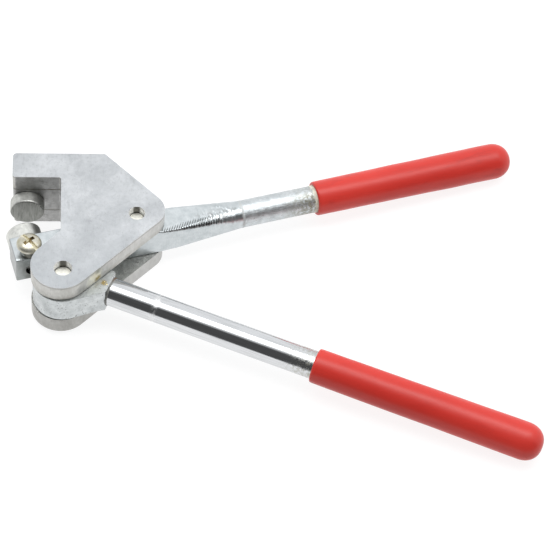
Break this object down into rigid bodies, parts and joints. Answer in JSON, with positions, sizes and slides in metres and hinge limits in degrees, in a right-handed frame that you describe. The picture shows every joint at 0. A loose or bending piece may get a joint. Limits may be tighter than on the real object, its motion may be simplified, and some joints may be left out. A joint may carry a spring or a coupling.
{
  "type": "hand seamer",
  "caption": "Plier-like hand seamer: two thick C-shaped plates, facing round dies, a cam lever and a jaw lever with vinyl-dipped tube handles.",
  "frame": {"origin": "centre of the bounding box in plan, at the height of the bottom plate's underside, with the handles open", "axes": "+X from the jaws towards the handle ends, +Y towards the nose's back edge, +Z square to the plates, up through the top plate"},
  "size_m": [0.358, 0.261, 0.048],
  "materials": {
    "cast_aluminium": "machined casting, mottled, soft edges",
    "die_steel": "turned steel, dull grey",
    "zinc_plated_steel": "bluish zinc plate, satin",
    "chrome_steel": "polished chrome plate",
    "yellow_zinc_steel": "yellow zinc plate, bright",
    "black_steel": "black oxide",
    "weld_steel": "bare weld with light rust",
    "red_vinyl": "dipped red vinyl, semi-gloss"
  },
  "bodies": {
    "frame": {"top_plate": "cast_aluminium", "bottom_plate": "cast_aluminium", "head_block": "cast_aluminium", "frame_screw_1": "black_steel", "frame_screw_2": "black_steel", "frame_screw_3": "black_steel", "rear_pivot_pin": "die_steel", "front_pivot_pin": "die_steel", "cam_washer": "die_steel", "fixed_die": "die_steel", "fixed_die_screw": "black_steel"},
    "jaw": {"jaw_lever": "zinc_plated_steel", "moving_die": "die_steel", "upper_handle_tube": "zinc_plated_steel", "upper_handle_weld": "weld_steel", "upper_grip": "red_vinyl"},
    "cam": {"cam_lever": "zinc_plated_steel", "lower_handle_tube": "chrome_steel", "lower_handle_weld": "weld_steel", "lower_grip": "red_vinyl"},
    "clamp": {"die_clamp_screw": "yellow_zinc_steel"}
  },
  "joints": [
    {"name": "jaw_lever_turn", "type": "hinge", "parent": "frame", "child": "jaw", "pos_m": [-0.09137, 0.04849, 0.024], "axis": [0, 0, 1], "range_deg": [-14.6, 0]},
    {"name": "cam_lever_turn", "type": "hinge", "parent": "frame", "child": "cam", "pos_m": [-0.14042, 0.00219, 0.024], "axis": [0, 0, 1], "range_deg": [0, 20.1]},
    {"name": "clamp_screw_turn", "type": "hinge", "parent": "jaw", "child": "clamp", "pos_m": [-0.16279, 0.02554, 0.024], "axis": [0, 0, 1], "range_deg": [0, 630]}
  ],
  "couplings": [
    {"joint": "cam_lever_turn", "follows": "jaw_lever_turn", "ratio": -1.37}
  ]
}
